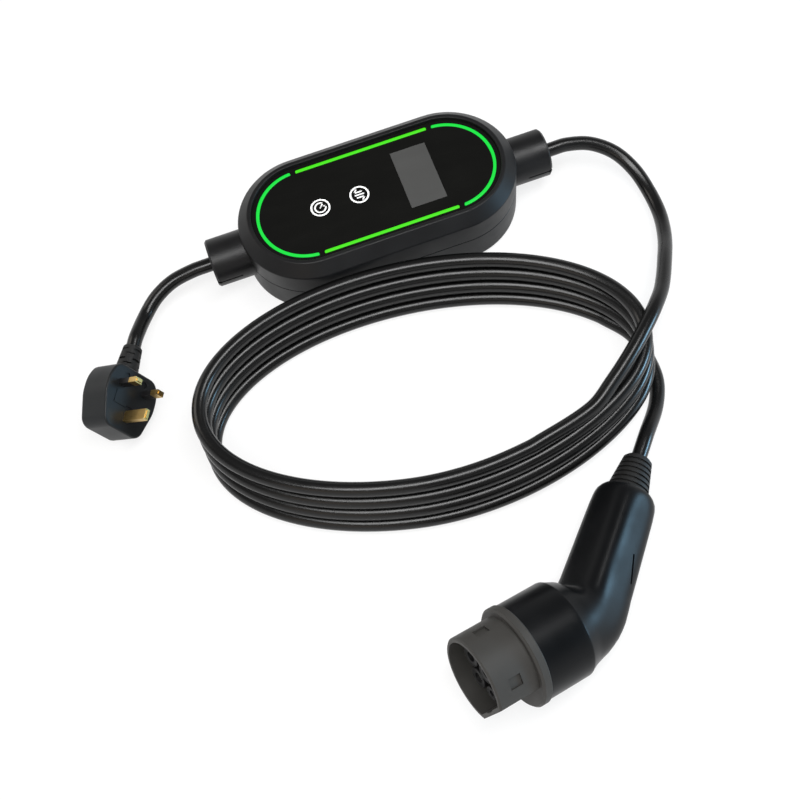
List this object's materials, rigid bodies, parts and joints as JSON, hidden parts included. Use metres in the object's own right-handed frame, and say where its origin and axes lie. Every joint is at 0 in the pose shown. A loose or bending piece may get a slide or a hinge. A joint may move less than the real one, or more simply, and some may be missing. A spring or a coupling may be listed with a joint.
{
  "type": "portable ev charger",
  "caption": "capsule-shaped in-cable charging box with a lit face ring and display, fused three-pin mains plug, oval cable coil and angled vehicle connector",
  "frame": {"origin": "middle of the control box's flat back, which lies on the floor", "axes": "+X along the box towards the vehicle cable, +Y away from the coil, +Z out of the lit face"},
  "size_m": [0.4679, 0.4507, 0.0797],
  "materials": {
    "housing_plastic": "fine matte grain",
    "panel_gloss": "polished",
    "light_lime": "lit light guide",
    "light_green": "lit light guide",
    "display_grey": "smoked window",
    "inner_black": "moulded",
    "board_green": "solder mask",
    "screw_steel": "plated",
    "terminal_grey": "moulded",
    "gland_plastic": "fine grain",
    "seal_rubber": "soft",
    "plug_plastic": "moulded",
    "pin_brass": "rolled",
    "sleeve_black": "smooth",
    "fuse_metal": "plated",
    "connector_black": "satin",
    "nose_grey": "fine grain",
    "insert_black": "moulded",
    "contact_silver": "silver plated",
    "cable_jacket": "satin jacket"
  },
  "bodies": {
    "charger": {"rear_housing": "housing_plastic", "front_housing": "housing_plastic", "face_panel": "panel_gloss", "light_bars": "light_lime", "light_arcs": "light_green", "display_window": "display_grey", "display_module": "inner_black", "relays": "inner_black", "transformer": "inner_black", "leakage_sensor": "inner_black", "display_board": "board_green", "main_board": "board_green", "housing_screws": "screw_steel", "display_screws": "screw_steel", "board_screws": "screw_steel", "clamp_screws": "screw_steel", "terminal_blocks": "terminal_grey", "cable_clamp": "terminal_grey", "mains_gland": "gland_plastic", "mains_gland_sleeve": "gland_plastic", "outlet_gland": "gland_plastic", "outlet_gland_sleeve": "gland_plastic", "housing_seal": "seal_rubber", "mains_gland_seal": "seal_rubber", "outlet_gland_seal": "seal_rubber", "plug_boot": "seal_rubber", "connector_boot": "seal_rubber", "plug_body": "plug_plastic", "line_pin": "pin_brass", "neutral_pin": "pin_brass", "earth_pin": "pin_brass", "pin_sleeves": "sleeve_black", "upper_shell": "connector_black", "lower_shell": "connector_black", "nose_shroud": "nose_grey", "contact_insert": "insert_black", "power_contacts": "contact_silver", "earth_contact": "contact_silver", "signal_contacts": "contact_silver", "mains_lead": "cable_jacket", "outlet_lead": "cable_jacket", "cable_coil": "cable_jacket", "connector_lead": "cable_jacket"},
    "fuse_drawer": {"fuse_carrier": "plug_plastic", "fuse": "fuse_metal"}
  },
  "joints": [
    {"name": "fuse_drawer_slide", "type": "slide", "parent": "charger", "child": "fuse_drawer", "axis": [0.7574, -0.4199, 0.5], "range_m": [0, 0.01]}
  ]
}
